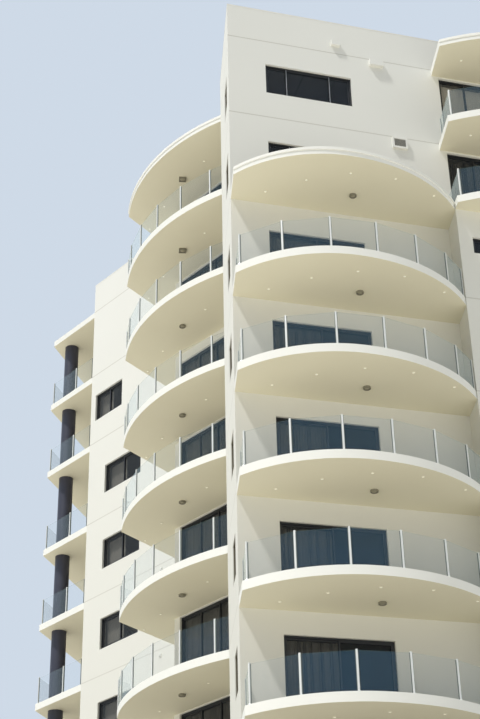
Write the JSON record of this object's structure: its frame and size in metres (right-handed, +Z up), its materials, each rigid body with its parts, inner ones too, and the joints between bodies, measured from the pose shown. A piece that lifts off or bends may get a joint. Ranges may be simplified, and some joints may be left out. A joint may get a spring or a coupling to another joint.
{
  "type": "apartment block",
  "caption": "Rendered apartment block with curved cantilevered balconies, glass balustrades, canopies and dark tinted windows on a hollow plan.",
  "frame": {"origin": "centre of the footprint's bounding box, on the ground", "axes": "+X to the right along the front, +Y from the front into the building, +Z up"},
  "size_m": [25.1756, 27.6826, 32.5],
  "materials": {
    "plaster": "painted render, fine grain, matt",
    "concrete": "bare concrete, matt",
    "fascia": "painted concrete, smooth, matt",
    "rail_glass": "clear toughened glass with a green tint",
    "post_metal": "satin",
    "column_paint": "dark blue-grey paint, satin",
    "window_glass": "dark tinted glass, polished",
    "lamp": "opal lamp in a grey rim",
    "box_paint": "matt"
  },
  "bodies": {
    "root": {"front_wall_left": "plaster", "front_wall_right": "plaster", "centre_wall_lower": "plaster", "centre_wall_upper": "plaster", "centre_cheeks": "plaster", "corner_wall_left": "plaster", "corner_wall_right": "plaster", "terrace_cheeks": "plaster", "terrace_door_walls": "plaster", "terrace_end_walls": "plaster", "flank_wall_left": "plaster", "flank_wall_right": "plaster", "deck_side_walls": "plaster", "deck_door_walls": "plaster", "deck_end_walls": "plaster", "chamfer_walls": "plaster", "rear_wall": "plaster", "ground_slab": "concrete", "floor_slabs": "concrete", "roof_slab": "concrete", "front_slabs_left": "fascia", "front_slabs_right": "fascia", "centre_slabs": "fascia", "side_slabs_left": "fascia", "side_slabs_right": "fascia", "deck_slabs_left": "fascia", "deck_slabs_right": "fascia", "front_glass_left": "rail_glass", "front_glass_right": "rail_glass", "centre_glass": "rail_glass", "side_glass_left": "rail_glass", "side_glass_right": "rail_glass", "deck_glass": "rail_glass", "front_posts": "post_metal", "side_posts": "post_metal", "deck_posts": "post_metal", "deck_columns": "column_paint", "front_panes": "window_glass", "centre_panes": "window_glass", "side_panes": "window_glass", "flank_panes": "window_glass", "deck_panes": "window_glass", "rear_panes": "window_glass", "ceiling_lamps": "lamp", "wall_boxes": "box_paint"}
  },
  "joints": []
}
